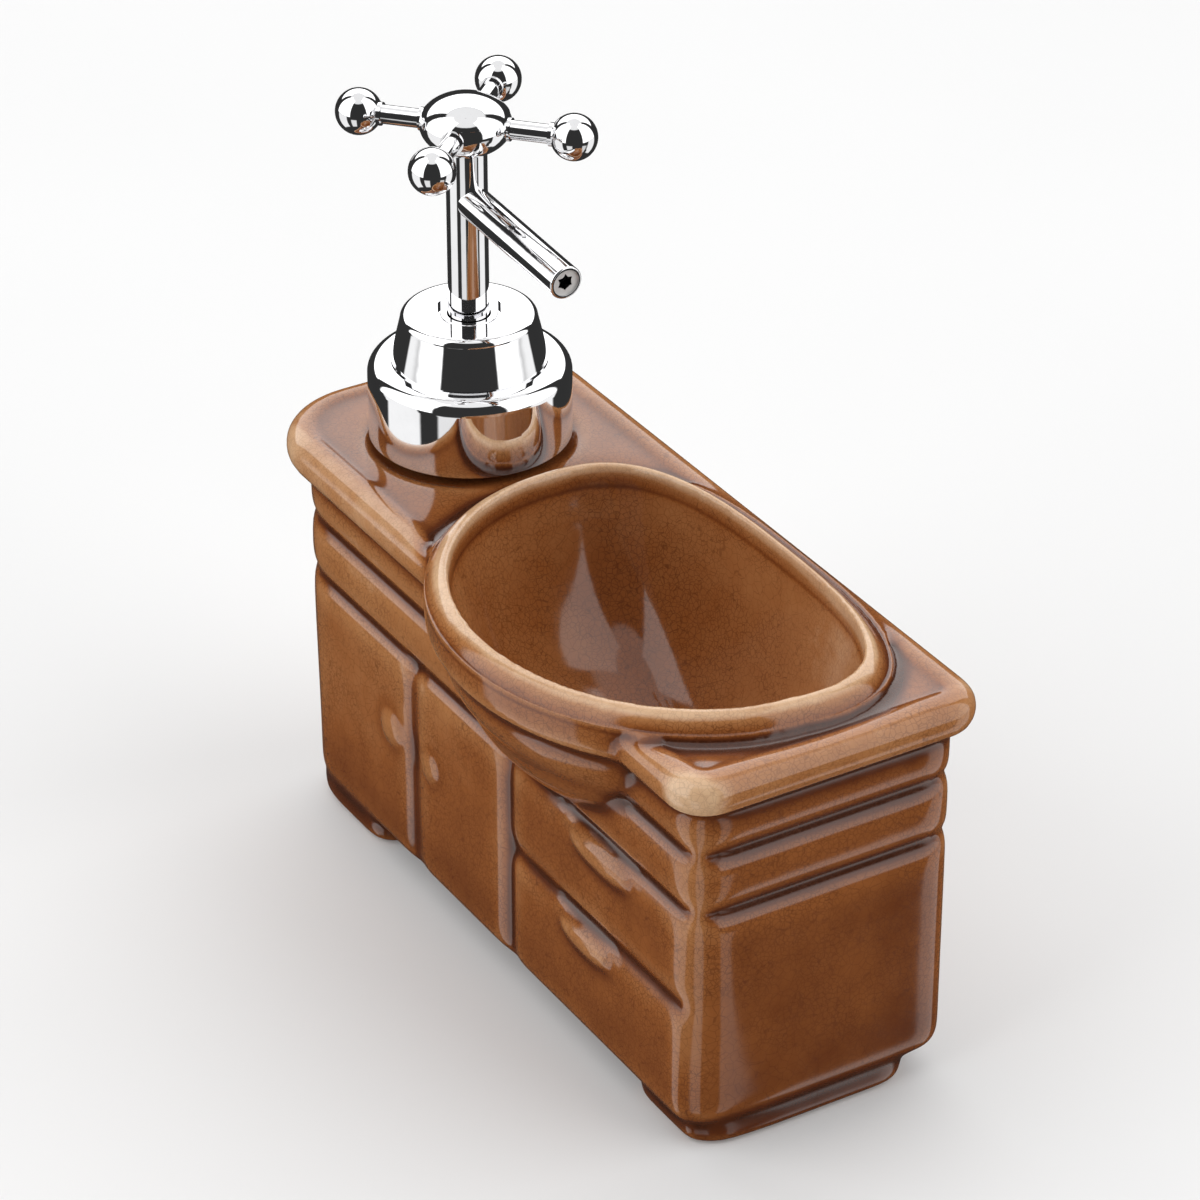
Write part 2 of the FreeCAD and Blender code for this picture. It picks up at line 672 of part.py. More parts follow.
def spout():
    """Plated straight spout, saddled to the column, with a rounded lip."""
    pipe = turned([
        (SPOUT_BORE, 0), (SPOUT_RADIUS, 0), (SPOUT_RADIUS, SPOUT_REACH - EDGE_BREAK),
        rounded_corner(SPOUT_RADIUS, SPOUT_REACH, EDGE_BREAK), (SPOUT_BORE, SPOUT_REACH),
    ])
    return along_spout(pipe).cut(column_core(COLUMN_RADIUS))


def spout_liner():
    """Soap duct inside the spout."""
    end = SPOUT_REACH - NOZZLE_THICKNESS - NOZZLE_INSET
    return along_spout(tube(SPOUT_BORE, DUCT_RADIUS, 0, end)).cut(column_core(COLUMN_BORE))


def spout_nozzle():
    """End plug with a star-shaped outlet."""
    start = SPOUT_REACH - NOZZLE_THICKNESS - NOZZLE_INSET
    plug = tube(SPOUT_BORE, 0, start, start + NOZZLE_THICKNESS)
    corners = []
    for step in range(2 * NOZZLE_POINTS):
        radius = NOZZLE_STAR[step % 2]
        angle = math.pi * step / NOZZLE_POINTS
        corners.append(V(radius * math.cos(angle), radius * math.sin(angle), start))
    star = Part.Face(outline(corners)).extrude(V(0, 0, NOZZLE_THICKNESS))
    return along_spout(plug.cut(star))


def handle_arm(angle):
    """Turned arm of the cross, with a ring where it meets the hub and one at the ball."""
    ball_face = BALL_CENTRE - BALL_KNOB_RADIUS
    arm = tube(ARM_RADIUS, 0, ARM_INNER, ball_face + ARM_TENON)
    for start in (HUB_RADIUS - ARM_RING_SUNK, ball_face - ARM_RING_WIDTH + ARM_RING_SUNK):
        arm = arm.fuse(tube(ARM_RING_RADIUS, 0, start, start + ARM_RING_WIDTH))
    arm.rotate(V(0, 0, 0), V(0, 1, 0), 90)
    arm.translate(V(0, 0, HUB_HEIGHT))
    arm.rotate(V(0, 0, 0), UP, angle)
    return arm


def handle_ball(angle):
    """Ball at the end of an arm, bored for the arm's end."""
    direction = math.radians(angle)
    centre = V(BALL_CENTRE * math.cos(direction), BALL_CENTRE * math.sin(direction), HUB_HEIGHT)
    return Part.makeSphere(BALL_KNOB_RADIUS, centre).cut(handle_arm(angle))


def arm_angles():
    return [HANDLE_ANGLE + 90 * step for step in range(len(ARM_NAMES))]


def hub_spheroid(radius):
    return ellipsoid(V(0, 0, HUB_HEIGHT), radius, radius, HUB_HALF_HEIGHT)


def above_split():
    """Block that holds everything above the seam between the hub and its cap."""
    reach = 2 * HUB_RADIUS
    return Part.makeBox(2 * reach, 2 * reach, reach, V(-reach, -reach, HUB_HEIGHT + HUB_SPLIT))


def handle_hub():
    """Lower shell of the hub: bored for the column, the arms and the screw."""
    foot = HUB_HEIGHT - HUB_HALF_HEIGHT
    hub = hub_spheroid(HUB_RADIUS).cut(above_split())
    hub = hub.cut(Part.makeCylinder(COLUMN_RADIUS, COLUMN_HEAD - foot, V(0, 0, foot)))
    hub = hub.cut(screw_shank()).cut(screw_head())
    for angle in arm_angles():
        hub = hub.cut(handle_arm(angle))
    return hub


def handle_cap():
    """Domed cover of the hub, with an edge that overhangs the lower shell a little."""
    cap = hub_spheroid(HUB_RADIUS + CAP_OVERHANG).common(above_split())
    for angle in arm_angles():
        cap = cap.cut(handle_arm(angle))
    return cap


def screw_head():
    seat = HUB_HEIGHT + HUB_SPLIT - SCREW_HEAD_HEIGHT
    return Part.makeCylinder(SCREW_HEAD_RADIUS, SCREW_HEAD_HEIGHT, V(0, 0, seat))


def screw_shank():
    seat = HUB_HEIGHT + HUB_SPLIT - SCREW_HEAD_HEIGHT
    return Part.makeCylinder(SCREW_RADIUS, SCREW_LENGTH, V(0, 0, seat - SCREW_LENGTH))


def hub_screw():
    """Pan-head screw that holds the cross on the column, hidden under the cap."""
    top = HUB_HEIGHT + HUB_SPLIT
    width, depth = SCREW_SLOT
    slot = Part.makeBox(2 * SCREW_HEAD_RADIUS, width, depth, V(-SCREW_HEAD_RADIUS, -width / 2, top - depth))
    return screw_head().fuse(screw_shank()).cut(slot)


# ---------------------------------------------------------------- assembly

def pump_parts():
    """Every piece of the pump, drawn about its own upright axis."""
    parts = {
        "neck_insert": neck_insert(),
        "neck_seal": neck_seal(),
        "closure": closure(),
        "collar_cover": collar_cover(),
        "collar_cone": collar_cone(),
        "column_bush": column_bush(),
        "pump_cylinder": pump_cylinder(),
        "pump_gasket": pump_gasket(),
        "stem_guide": stem_guide(),
        "dip_tube": dip_tube(),
        "inlet_ball": inlet_ball(),
        "piston": piston(),
        "piston_stem": piston_stem(),
        "outlet_ball": outlet_ball(),
        "return_spring": return_spring(),
        "column": column(),
        "column_liner": column_liner(),
        "spout": spout(),
        "spout_liner": spout_liner(),
        "spout_nozzle": spout_nozzle(),
        "handle_hub": handle_hub(),
        "handle_cap": handle_cap(),
        "hub_screw": hub_screw(),
    }
    for name, angle in zip(ARM_NAMES, arm_angles()):
        parts["handle_arm_" + name] = handle_arm(angle)
        parts["handle_ball_" + name] = handle_ball(angle)
    return parts


def export(name, shape):
    solids = shape.removeSplitter().Solids
    assert len(solids) == 1 and solids[0].isValid(), name
    solid = solids[0]
    solid.translate(V(SHIFT_X, SHIFT_Y, 0))
    solid.exportStep("parts/" + name + ".step")
    print(name, round(solid.Volume, 1))


os.makedirs("parts", exist_ok=True)
export("ceramic_body", ceramic_body())
for part_name, part_shape in pump_parts().items():
    part_shape.translate(V(PUMP_X, 0, 0))
    export(part_name, part_shape)
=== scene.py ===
import json
import math

import bpy
import numpy as np
from mathutils import Matrix, Vector


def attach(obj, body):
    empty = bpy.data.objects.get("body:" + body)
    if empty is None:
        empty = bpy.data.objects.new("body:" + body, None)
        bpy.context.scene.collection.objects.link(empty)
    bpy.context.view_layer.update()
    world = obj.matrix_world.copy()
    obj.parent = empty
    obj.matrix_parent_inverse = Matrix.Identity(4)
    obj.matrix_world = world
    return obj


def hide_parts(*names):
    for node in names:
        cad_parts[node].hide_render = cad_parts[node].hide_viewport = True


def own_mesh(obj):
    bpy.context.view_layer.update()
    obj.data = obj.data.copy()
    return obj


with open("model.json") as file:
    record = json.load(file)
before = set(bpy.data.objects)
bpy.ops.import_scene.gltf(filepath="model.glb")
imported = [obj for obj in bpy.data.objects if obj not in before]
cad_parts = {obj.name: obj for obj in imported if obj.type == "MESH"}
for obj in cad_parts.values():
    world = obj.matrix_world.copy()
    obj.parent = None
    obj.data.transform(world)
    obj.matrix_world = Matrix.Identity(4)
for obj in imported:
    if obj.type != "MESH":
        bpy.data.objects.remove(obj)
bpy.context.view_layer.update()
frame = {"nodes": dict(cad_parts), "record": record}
nodes = frame["nodes"]
scene = bpy.context.scene


# ---------------------------------------------------------------- node helpers

def new_material(name):
    material = bpy.data.materials.new(name)
    material.use_nodes = True
    tree = material.node_tree
    return material, tree, tree.nodes["Principled BSDF"]


def add(tree, kind, **settings):
    node = tree.nodes.new(kind)
    for key, value in settings.items():
        setattr(node, key, value)
    return node


def math_node(tree, operation, a, b=None, c=None, clamp=False):
    node = add(tree, "ShaderNodeMath", operation=operation, use_clamp=clamp)
    for socket, value in zip(node.inputs, (a, b, c)):
        if value is None:
            continue
        if isinstance(value, (int, float)):
            socket.default_value = value
        else:
            tree.links.new(value, socket)
    return node.outputs[0]


def smooth_step(tree, value, low, high):
    node = add(tree, "ShaderNodeMapRange", interpolation_type="SMOOTHSTEP", clamp=True)
    tree.links.new(value, node.inputs["Value"])
    node.inputs["From Min"].default_value = low
    node.inputs["From Max"].default_value = high
    return node.outputs[0]


def noise(tree, scale, detail=2.0, roughness=0.5):
    node = add(tree, "ShaderNodeTexNoise")
    node.inputs["Scale"].default_value = scale
    node.inputs["Detail"].default_value = detail
    node.inputs["Roughness"].default_value = roughness
    tree.links.new(object_place(tree), node.inputs["Vector"])
    return node.outputs["Fac"]


def object_place(tree):
    found = tree.nodes.get("place")
    if not found:
        found = add(tree, "ShaderNodeTexCoord", name="place")
    return found.outputs["Object"]


def ramp(tree, value, stops):
    node = add(tree, "ShaderNodeValToRGB")
    elements = node.color_ramp.elements
    while len(elements) < len(stops):
        elements.new(0.5)
    for element, (position, colour) in zip(elements, stops):
        element.position = position
        element.color = (*colour, 1)
    tree.links.new(value, node.inputs["Fac"])
    return node.outputs["Color"]


def mix_colour(tree, factor, a, b):
    node = add(tree, "ShaderNodeMix", data_type="RGBA")
    for socket, value in ((node.inputs[0], factor), (node.inputs[6], a), (node.inputs[7], b)):
        if isinstance(value, (int, float)):
            socket.default_value = value
        elif isinstance(value, tuple):
            socket.default_value = (*value, 1)
        else:
            tree.links.new(value, socket)
    return node.outputs[2]


def bump(tree, height, strength, distance):
    node = add(tree, "ShaderNodeBump")
    node.inputs["Strength"].default_value = strength
    node.inputs["Distance"].default_value = distance
    tree.links.new(height, node.inputs["Height"])
    return node.outputs["Normal"]


# ---------------------------------------------------------------- materials

def crackle_lines(tree, scale, width, warp):
    """Thin net of glaze cracks: 1 on a crack and 0 between them."""
    shift = add(tree, "ShaderNodeTexNoise")
    shift.inputs["Scale"].default_value = scale * 0.6
    tree.links.new(object_place(tree), shift.inputs["Vector"])
    moved = add(tree, "ShaderNodeVectorMath", operation="MULTIPLY_ADD")
    tree.links.new(shift.outputs["Color"], moved.inputs[0])
    moved.inputs[1].default_value = (warp,) * 3
    tree.links.new(object_place(tree), moved.inputs[2])
    cells = add(tree, "ShaderNodeTexVoronoi", feature="DISTANCE_TO_EDGE")
    cells.inputs["Scale"].default_value = scale
    tree.links.new(moved.outputs[0], cells.inputs["Vector"])
    near = smooth_step(tree, cells.outputs["Distance"], 0.0, width)
    return math_node(tree, "SUBTRACT", 1.0, near)


GLAZE_IOR = 1.52
CRACK_COLOUR = (0.085, 0.022, 0.006)
WIDE_CRACKLE = (430.0, 0.045, 0.0012)    # cells per metre, width of a crack in a cell, and warp in metres
TIGHT_CRACKLE = (760.0, 0.075, 0.0008)


def glaze():
    """Amber crackle glaze: pale where it runs thin over an edge, partly as painted highlight, dark where it
    pools; its attribute also carries painted shade, highlight and reflection.
    """
    material, tree, shader = new_material("amber_crackle_glaze")
    # The attribute holds glaze thickness together with painted light and shade
    pooling_and_painted_light = add(tree, "ShaderNodeAttribute", attribute_name="glaze_depth_and_painted_light").outputs["Fac"]
    cloud = noise(tree, 34.0, 3.0, 0.55)
    mottle = noise(tree, 210.0, 2.0, 0.6)
    level = math_node(tree, "SUBTRACT", 0.5, pooling_and_painted_light)
    level = math_node(tree, "MULTIPLY_ADD", math_node(tree, "SUBTRACT", cloud, 0.5), 0.24, level)
    level = math_node(tree, "MULTIPLY_ADD", math_node(tree, "SUBTRACT", mottle, 0.5), 0.10, level)
    colour = ramp(tree, level, GLAZE_STOPS)
    wide = crackle_lines(tree, *WIDE_CRACKLE)
    tight = crackle_lines(tree, *TIGHT_CRACKLE)
    patches = smooth_step(tree, noise(tree, 60.0), 0.30, 0.52)
    lines = math_node(tree, "MAXIMUM", math_node(tree, "MULTIPLY", wide, 0.60),
                      math_node(tree, "MULTIPLY", tight, math_node(tree, "MULTIPLY", patches, 0.85)))
    on_brown = smooth_step(tree, pooling_and_painted_light, PALEST, 0.0)
    strength = math_node(tree, "MULTIPLY", lines, math_node(tree, "MULTIPLY_ADD", on_brown, 0.47, 0.28))
    colour = mix_colour(tree, strength, colour, CRACK_COLOUR)
    tree.links.new(colour, shader.inputs["Base Color"])
    rough = math_node(tree, "MULTIPLY_ADD", mottle, 0.06, 0.045)
    rough = math_node(tree, "MULTIPLY_ADD", lines, 0.08, rough)
    rough = math_node(tree, "MULTIPLY_ADD", smooth_step(tree, pooling_and_painted_light, 0.10, 0.45), 0.09, rough)
    tree.links.new(rough, shader.inputs["Roughness"])
    shader.inputs["IOR"].default_value = GLAZE_IOR
    swell = noise(tree, 75.0, 1.0)
    height = math_node(tree, "MULTIPLY_ADD", lines, -0.02, swell)
    tree.links.new(bump(tree, height, 0.12, 0.0006), shader.inputs["Normal"])
    return material


def chrome(name, tint, wave):
    """Mirror plating with the faint haze and waviness of plated castings."""
    material, tree, shader = new_material(name)
    haze = noise(tree, 120.0, 3.0, 0.6)
    colour = ramp(tree, haze, ((0.3, tint), (0.75, tuple(0.94 * c for c in tint))))
    tree.links.new(colour, shader.inputs["Base Color"])
    shader.inputs["Metallic"].default_value = 1.0
    tree.links.new(math_node(tree, "MULTIPLY_ADD", haze, 0.05, 0.012), shader.inputs["Roughness"])
    swell = noise(tree, 260.0, 1.0)
    tree.links.new(bump(tree, swell, wave, 0.0003), shader.inputs["Normal"])
    return material


def moulded(name, pale, dark, rough, grain):
    """Moulded plastic or rubber with a slight mottling."""
    material, tree, shader = new_material(name)
    tone = noise(tree, 90.0, 3.0, 0.6)
    tree.links.new(ramp(tree, tone, ((0.3, dark), (0.7, pale))), shader.inputs["Base Color"])
    tree.links.new(math_node(tree, "MULTIPLY_ADD", tone, 0.12, rough), shader.inputs["Roughness"])
    tree.links.new(bump(tree, noise(tree, 1400.0), grain, 0.0002), shader.inputs["Normal"])
    return material


def steel():
    material, tree, shader = new_material("bright_steel")
    tone = noise(tree, 400.0, 3.0, 0.6)
    tree.links.new(ramp(tree, tone, ((0.3, (0.42, 0.42, 0.43)), (0.7, (0.62, 0.62, 0.63)))),
                   shader.inputs["Base Color"])
    shader.inputs["Metallic"].default_value = 1.0
    tree.links.new(math_node(tree, "MULTIPLY_ADD", tone, 0.15, 0.16), shader.inputs["Roughness"])
    return material


# ---------------------------------------------------------------- the glazed washstand

VOXEL = 0.0008               # metres
IN_GROOVES = 2.5             # how much the glaze darkens per millimetre of hollow
EDGE_PALING_AND_HIGHLIGHT = 1.10              # and pales per millimetre of ridge, partly thin glaze and partly painted highlight
IN_HOLLOWS = 0.05            # the same for broad relief, hollow or raised
PALEST = -0.34               # the thinnest that the glaze gets, whose paleness is partly painted highlight
FINE_ROUNDS, BROAD_ROUNDS = 14, 110   # rounds of relaxing that tell fine relief from broad
# Colours from pooled glaze to thin; the palest also serve as painted highlight
GLAZE_STOPS = (
    (0.00, (0.050, 0.012, 0.003)),
    (0.26, (0.115, 0.028, 0.007)),
    (0.50, (0.270, 0.088, 0.023)),
    (0.70, (0.400, 0.172, 0.062)),
    (0.92, (0.680, 0.460, 0.280)),
)

# Places and sizes on the washstand, in millimetres from the cabinet's centre, which CENTRE gives
CENTRE = Vector((1.25, 6.95, 0.0))
BASIN = Vector((26.4, 1.0, 99.7))
NECK = Vector((-61.2, 0.0))
MOUTH_LENGTH, MOUTH_FRONT, MOUTH_BACK = 53.5, 47.6, 27.8     # half sizes of the basin's plan
MOUTH_SQUARENESS = 2.85      # exponent of the plan's back half: 2 is an ellipse
BOWL_DEPTH = 45.8
BOWL_TAPER = 0.04            # how far the bowl's sides come in, as a share of the way to its middle
TAPER_PEAK = 6.75            # makes depth * (1 - depth) ** 2 reach 1
WALLS_TOP = 90.2
SLAB_FOOT = 92.0
SEAT_EDGE = (24.0, 28.0)     # from the neck's axis: unsoftened within, soft beyond
TOP_SOFTNESS, WALL_ROUNDS = 0.35, 16
RESERVOIR_X, RESERVOIR_HALF_DEPTH, RESERVOIR_Z = (-90.2, 89.2), 31.7, (8.7, 94.5)
UNDER_BOWL = 53.0            # below this, the reservoir runs on under the bowl
FACES_KEPT = 0.62            # share of the reservoir's faces that thin_out leaves
FRONT_Y = -34.0
POST_X = 88.5
DOOR_JOINTS = (-30.5, 13.0)
DRAWER_JOINT = 38.2
JOINT_DEPTH, JOINT_WIDTH = 1.1, 2.4
BANDS = (77.9, 63.1)
BAND_DEPTH, BAND_WIDTH = 0.95, 2.8
RIM_ROLL = 3.2               # how far the rim falls away outwards
PUMP_END_IN = 2.2
END_IN_TOP, END_IN_FOOT = 0.6, 1.6      # the end face by the corner: at the top, and how much more low down
# Knobs and pulls: x, height, reach, and the share of their height that is kept
RAISED = (
    (-40.5, 40.5, 9.0, 0.45),
    (-22.5, 39.5, 8.0, 0.35),
    (53.0, 58.0, 15.0, 0.8),
    (47.0, 32.5, 13.0, 0.8),
)


def neighbour_mean(values, edges, counts):
    total = np.zeros_like(values)
    for column in range(values.shape[1]):
        total[:, column] += np.bincount(edges[:, 0], values[edges[:, 1], column], len(values))
        total[:, column] += np.bincount(edges[:, 1], values[edges[:, 0], column], len(values))
    return total / counts[:, None]


def relaxed(values, edges, counts, rounds, keep=0.5):
    for _ in range(rounds):
        values = keep * values + (1 - keep) * neighbour_mean(values, edges, counts)
    return values


def read_vectors(collection, name, count):
    flat = np.zeros(count * 3, np.float32)
    collection.foreach_get(name, flat)
    return flat.reshape(-1, 3).astype(float)


def step(value, low, high):
    t = np.clip((value - low) / (high - low), 0, 1)
    return t * t * (3 - 2 * t)


def dent(distance, width):
    return np.exp(-(distance / width) ** 2)


def plan_radius(x, y):
    """How far out a point lies in the basin's plan: 1 on the bowl's mouth."""
    u = np.abs(x - BASIN.x) / MOUTH_LENGTH
    v = y - BASIN.y
    front = np.sqrt(u ** 2 + (v / MOUTH_FRONT) ** 2)
    back = (u ** MOUTH_SQUARENESS + (np.abs(v) / MOUTH_BACK) ** MOUTH_SQUARENESS) ** (1 / MOUTH_SQUARENESS)
    return np.where(v > 0, back, front)


def inside_bowl(points):
    """1 on the bowl's inner side, 0 on its outside and elsewhere."""
    x, y, z = points.T
    depth = np.clip((BASIN.z - z) / BOWL_DEPTH, 0, 1)
    wall = 0.035 + 1.03 * np.sqrt(1 - depth ** 2)
    return step(wall - plan_radius(x, y), 0.0, 0.03) * step(z, 50.0, 52.0)


def carve(points, normals):
    """How far each point of the surface is pressed in along its normal, in millimetres."""
    x, y, z = points.T
    inward = np.zeros(len(points))
    on_front = step(-normals[:, 1], 0.55, 0.95) * step(-y, 30.0, 32.5) * step(WALLS_TOP - z, 0.0, 2.0)
    on_end = step(normals[:, 0], 0.55, 0.95) * step(x, 86.0, 89.0) * step(WALLS_TOP - z, 0.0, 2.0)
    below_bands = step(64.0 - z, -1.0, 2.0)
    for joint in DOOR_JOINTS:
        inward += on_front * below_bands * JOINT_DEPTH * dent(x - joint, JOINT_WIDTH)
    drawers = step(x, 12.0, 14.0) * step(POST_X - x, 0.0, 3.0)
    inward += on_front * drawers * JOINT_DEPTH * dent(z - DRAWER_JOINT, JOINT_WIDTH)
    post_front = step(POST_X - x, 0.0, 3.5)
    post_end = step(y + 31.0, 0.0, 3.5)
    for height in BANDS:
        groove = BAND_DEPTH * dent(z - height, BAND_WIDTH)
        inward += on_front * post_front * groove + on_end * post_end * groove
    inward += (on_front * post_front + on_end * post_end) * 0.5 * dent(z - 89.0, 2.2)
    radius = plan_radius(x, y)
    on_top = step(normals[:, 2], 0.8, 0.97) * step(z, 98.4, 98.9) * step(100.2 - z, 0.0, 0.5)
    inward += on_top * 1.1 * dent(np.maximum(radius - 1.10, 0.0), 0.11)
    outside = step(radius, 1.04, 1.07)
    inward += outside * 0.7 * dent(z - 89.8, 1.8) * step(-y, 36.0, 39.0)
    return inward


def reshape(points):
    """The hand-finished form: ends that draw in, a rolled rim, a tapering bowl and worn-down knobs."""
    x, y, z = points.T.copy()
    low = step(62.0 - z, 0.0, 52.0) * step(z, 6.0, 8.0)
    x_new = x + PUMP_END_IN * low * step(-x, 70.0, 92.0)
    end_face = step(x, 84.0, 88.0) * step(90.0 - z, 0.0, 2.0)
    down = step(64.0 - z, 0.0, 54.0)
    from_corner = np.clip(1 - (y - FRONT_Y) / (10.0 + 16.0 * down), 0, 1)
    x_new -= end_face * (END_IN_TOP + END_IN_FOOT * down) * from_corner ** 2
    radius = plan_radius(x, y)
    roll = np.clip((radius - 1.03) / 0.08, 0, 1) ** 1.3
    z_new = z - RIM_ROLL * roll * step(z, 100.0, 103.4)
    y_new = y.copy()
    depth = np.clip((BASIN.z - z) / BOWL_DEPTH, 0, 1)
    taper = BOWL_TAPER * TAPER_PEAK * depth * (1 - depth) ** 2
    drawn_in = np.where(inside_bowl(points) > 0.5, taper, 0.0)
    x_new -= (x - BASIN.x) * drawn_in
    y_new -= (y - BASIN.y) * drawn_in
    for knob_x, height, reach, keep in RAISED:
        near = step(reach - np.hypot(x - knob_x, z - height), 0.0, 2.0)
        lowered = FRONT_Y + (y - FRONT_Y) * (1 - near * (1 - keep))
        y_new = np.where((near > 0) & (y < FRONT_Y), lowered, y_new)
    return np.stack((x_new, y_new, z_new), axis=1)


def softness(points):
    """How rounded the glaze leaves each place: the walls' edges most, the neck's seat not at all."""
    x, y, z = points.T
    from_neck = np.hypot(x - NECK.x, y - NECK.y)
    knobs = np.zeros(len(points))
    for knob_x, height, reach, _ in RAISED:
        near = step(reach + 2.0 - np.hypot(x - knob_x, z - height), 0.0, 3.0)
        knobs = np.maximum(knobs, near * step(-y, 30.0, 33.0))
    walls = step(SLAB_FOOT - z, 0.0, 3.0) * (1 - 0.8 * knobs)
    return np.where(z > SLAB_FOOT, TOP_SOFTNESS * step(from_neck, *SEAT_EDGE), walls)


def glaze_tone_and_painted_light(points):
    """Slow changes of the colour: darker towards the foot, painted shade on the end face, painted reflection
    lightening the bowl, painted highlight and thinner glaze on the corner, painted highlight on the doors,
    and a darker gutter where the glaze pools.
    """
    x, y, z = points.T
    radius = plan_radius(x, y)
    in_bowl = inside_bowl(points)
    # The foot
    tone = 0.03 + 0.12 * step(30.0 - z, 0.0, 22.0) + 0.20 * step(10.0 - z, 0.0, 3.0)
    # Painted shade on the end face, and more on its rear
    tone += 0.09 * step(x, 89.0, 91.0) * step(90.0 - z, 0.0, 4.0)
    tone += 0.08 * step(x, 89.0, 91.0) * step(y, 5.0, 34.0)
    # Painted reflection in the bowl: lighter, and more so towards the end
    tone -= (0.17 + 0.17 * step(x, 20.0, 60.0)) * in_bowl
    # The front corner's upright: lighter, partly thinner glaze and partly painted highlight
    tone -= 0.10 * step(x, 84.0, 90.0) * step(-y, 29.0, 33.0) * step(z, 8.0, 30.0)
    # Painted highlight: the doors lighter
    tone -= 0.10 * step(-y, 32.0, 34.0) * step(z, 10.0, 50.0) * step(-x, -30.0, 50.0)
    # The gutter round the basin on the worktop
    tone += 0.18 * step(z, 98.0, 98.6) * step(99.6 - z, 0.0, 0.3) * dent(np.maximum(radius - 1.13, 0), 0.06)
    return tone


def glazed_body():
    source = nodes["ceramic_body"]
    body = bpy.data.objects.new("glazed_washstand", source.data.copy())
    scene.collection.objects.link(body)
    remesh = body.modifiers.new("even", "REMESH")
    remesh.mode = "VOXEL"
    remesh.voxel_size = VOXEL
    soften = body.modifiers.new("soften", "SMOOTH")
    soften.factor = 0.5
    soften.iterations = 5
    apply_modifiers(body)
    mesh = body.data
    count = len(mesh.vertices)
    edges = np.zeros(len(mesh.edges) * 2, np.int32)
    mesh.edges.foreach_get("vertices", edges)
    edges = edges.reshape(-1, 2)
    counts = np.bincount(edges.ravel(), minlength=count).astype(float)
    place = read_vectors(mesh.vertices, "co", count)
    normals = relaxed(read_vectors(mesh.vertex_normals, "vector", count), edges, counts, 3)
    normals /= np.linalg.norm(normals, axis=1)[:, None]
    local = place * 1000 - np.array(CENTRE)
    inward = relaxed(carve(local, normals)[:, None], edges, counts, 3)
    place -= normals * inward / 1000
    place += (reshape(local) - local) / 1000
    place = relaxed(place, edges, counts, 3)
    soft = softness(local)[:, None]
    place += soft * (relaxed(place, edges, counts, WALL_ROUNDS) - place)
    mesh.vertices.foreach_set("co", place.astype(np.float32).ravel())
    mesh.update()
    normals = read_vectors(mesh.vertex_normals, "vector", count)
    hollow = inside_reservoir(local)
    reliefs = []
    for rounds in (FINE_ROUNDS, BROAD_ROUNDS):
        settled = relaxed(place, edges, counts, rounds)
        relief = 1000 * np.einsum("ij,ij->i", settled - place, normals)
        relief[hollow] = 0.0
        reliefs.append(relaxed(relief[:, None], edges, counts, 4)[:, 0])
    fine, broad = reliefs
    depth = IN_GROOVES * np.maximum(fine, 0) + EDGE_PALING_AND_HIGHLIGHT * np.minimum(fine, 0) + IN_HOLLOWS * broad
    # The slow tone added here holds painted shade, highlight and reflection as well as glaze pooling
    depth = np.maximum(depth + glaze_tone_and_painted_light(local), PALEST)
    attribute = mesh.attributes.new("glaze_depth_and_painted_light", "FLOAT", "POINT")
    attribute.data.foreach_set("value", depth.astype(np.float32))
    thin_out(body, hollow)
    body.data.shade_smooth()
    body.data.materials.clear()
    body.data.materials.append(glaze())
    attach(body, "cabinet")
    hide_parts("ceramic_body")


def inside_reservoir(local):
    """Which points lie on the reservoir's walls, where nothing is seen."""
    x, y, z = local.T
    within = (np.abs(y) < RESERVOIR_HALF_DEPTH) & (x > RESERVOIR_X[0]) & (x < RESERVOIR_X[1])
    within &= (z > RESERVOIR_Z[0]) & (z < RESERVOIR_Z[1])
    depth = np.clip((BASIN.z - z) / BOWL_DEPTH, 0, 1)
    bowl = plan_radius(x, y) > 1.045 * np.sqrt(1 - depth ** 2)
    return within & (bowl | (z < UNDER_BOWL))


def thin_out(body, hollow):
    """Fewer faces on the reservoir's walls."""
    group = body.vertex_groups.new(name="hollow")
    group.add([int(i) for i in np.nonzero(hollow)[0]], 1.0, "REPLACE")
    decimate = body.modifiers.new("thin", "DECIMATE")
    decimate.ratio = FACES_KEPT
    decimate.vertex_group = "hollow"
    apply_modifiers(body)
    body.vertex_groups.clear()


def apply_modifiers(body):
    graph = bpy.context.evaluated_depsgraph_get()
    done = bpy.data.meshes.new_from_object(body.evaluated_get(graph), depsgraph=graph)
    body.modifiers.clear()
    body.data = done


glazed_body()

COLLAR = chrome("plated_collar", (0.86, 0.86, 0.87), 0.03)
TAP = chrome("plated_tap", (0.82, 0.82, 0.83), 0.06)
WHITE = moulded("white_polypropylene", (0.78, 0.78, 0.76), (0.70, 0.70, 0.68), 0.30, 0.10)
MILKY = moulded("natural_polyethylene", (0.66, 0.67, 0.66), (0.56, 0.57, 0.56), 0.38, 0.15)
SEAL = moulded("seal_rubber", (0.34, 0.34, 0.33), (0.25, 0.25, 0.24), 0.62, 0.30)
STEEL = steel()
FINISHES = {
    "collar_chrome": COLLAR, "tap_chrome": TAP, "white_polypropylene": WHITE,
    "natural_polyethylene": MILKY, "seal_rubber": SEAL, "steel": STEEL,
}
for part in frame["record"]["subparts"]:
    if part["material_slot"] in FINISHES:
        for place in nodes[part["node"]].material_slots:
            place.material = FINISHES[part["material_slot"]]


SHADE_BEHIND = 0.0018        # metres from the nozzle's middle back to the centre of its dark part
SHADE_RADIUS = 0.0033        # metres


